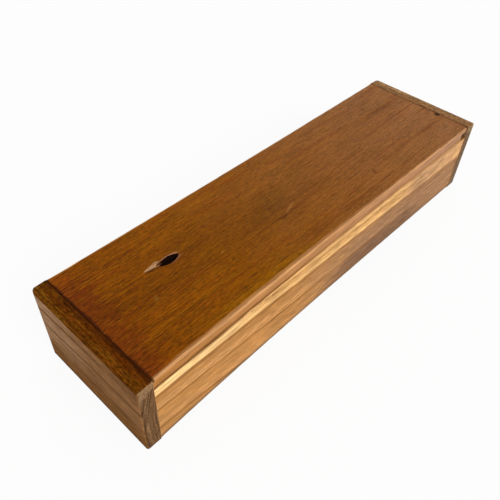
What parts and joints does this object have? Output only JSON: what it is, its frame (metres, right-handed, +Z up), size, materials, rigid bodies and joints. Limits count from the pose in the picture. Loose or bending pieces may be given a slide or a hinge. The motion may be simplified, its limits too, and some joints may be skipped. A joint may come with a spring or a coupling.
{
  "type": "sliding lid box",
  "caption": "Long low wooden box with full-height end boards, whose lid slides off sideways in stopped grooves.",
  "frame": {"origin": "on the resting plane, under the middle of the closed box", "axes": "+X along the box towards the right end board, +Y towards the back, the way the lid opens, +Z up"},
  "size_m": [0.3, 0.083, 0.053],
  "materials": {
    "lid_wood": "satin varnish, worn pale along the long edges",
    "end_wood": "thin oil finish, weathered grey-brown",
    "long_side_wood": "thin oil finish over heartwood with a pale sapwood band",
    "panel_wood": "bare planed wood",
    "dowel_wood": "bare turned wood"
  },
  "bodies": {
    "box": {"left_end_board": "end_wood", "right_end_board": "end_wood", "front_board": "long_side_wood", "back_board": "long_side_wood", "bottom_panel": "panel_wood", "front_left_dowels": "dowel_wood", "front_right_dowels": "dowel_wood", "back_left_dowels": "dowel_wood", "back_right_dowels": "dowel_wood"},
    "lid": {"lid": "lid_wood"}
  },
  "joints": [
    {"name": "lid_slide", "type": "slide", "parent": "box", "child": "lid", "axis": [0, 1, 0], "range_m": [0, 0.0738]}
  ]
}
